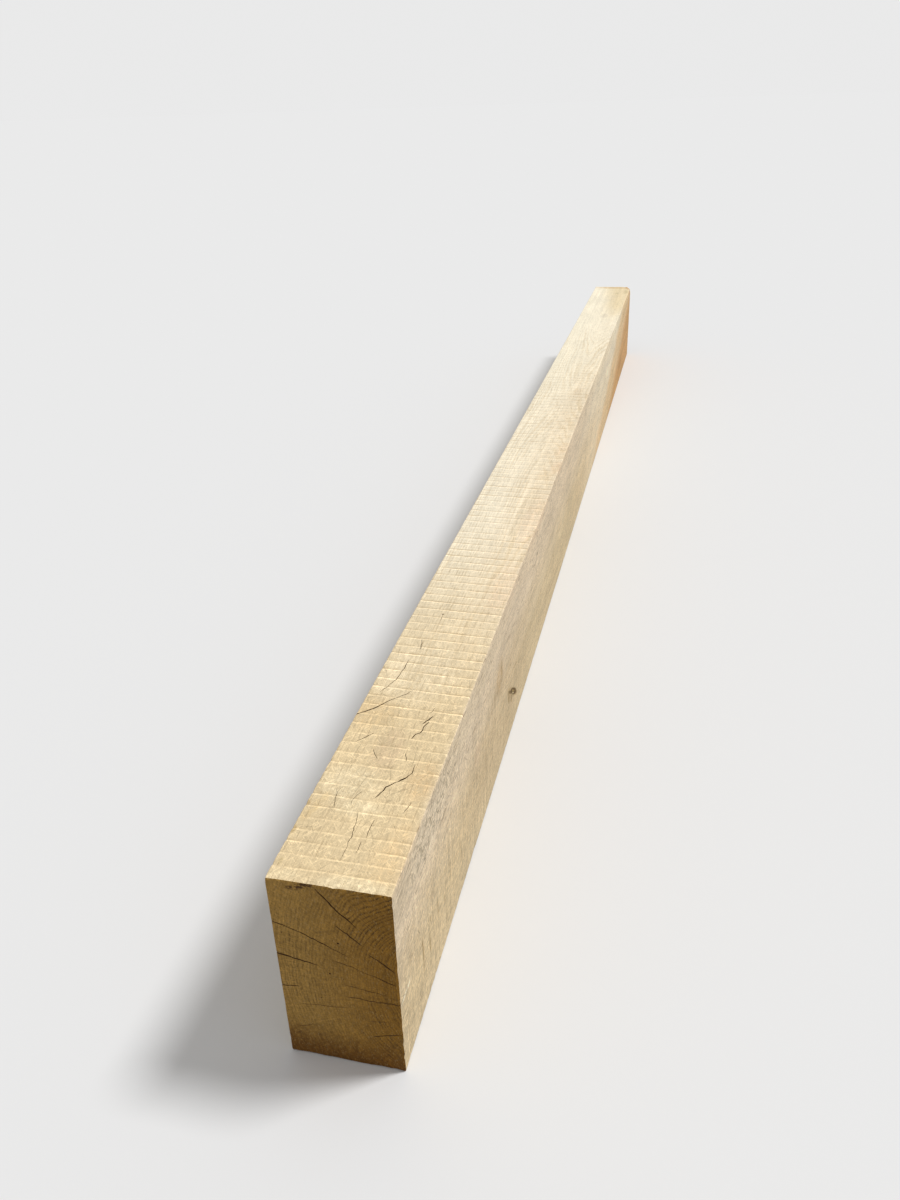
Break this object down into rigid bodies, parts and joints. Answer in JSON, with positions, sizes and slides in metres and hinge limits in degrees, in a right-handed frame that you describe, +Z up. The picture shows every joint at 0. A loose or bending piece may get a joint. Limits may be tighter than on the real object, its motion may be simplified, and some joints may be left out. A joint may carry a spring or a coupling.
{
  "type": "railway sleeper",
  "caption": "Solid sawn oak sleeper stored on edge: one long rectangular baulk with rough saw-marked faces, drying checks and a knocked-off far corner.",
  "frame": {"origin": "middle of the underside, the narrow face that the sleeper lies on", "axes": "+Y along the length, away from the near end; +X across the width, to the right seen from the near end; +Z up"},
  "size_m": [0.103, 2.5, 0.2],
  "materials": {
    "sawn_oak": "rough sawn, dry, matte"
  },
  "bodies": {
    "root": {"sleeper": "sawn_oak"}
  },
  "joints": []
}
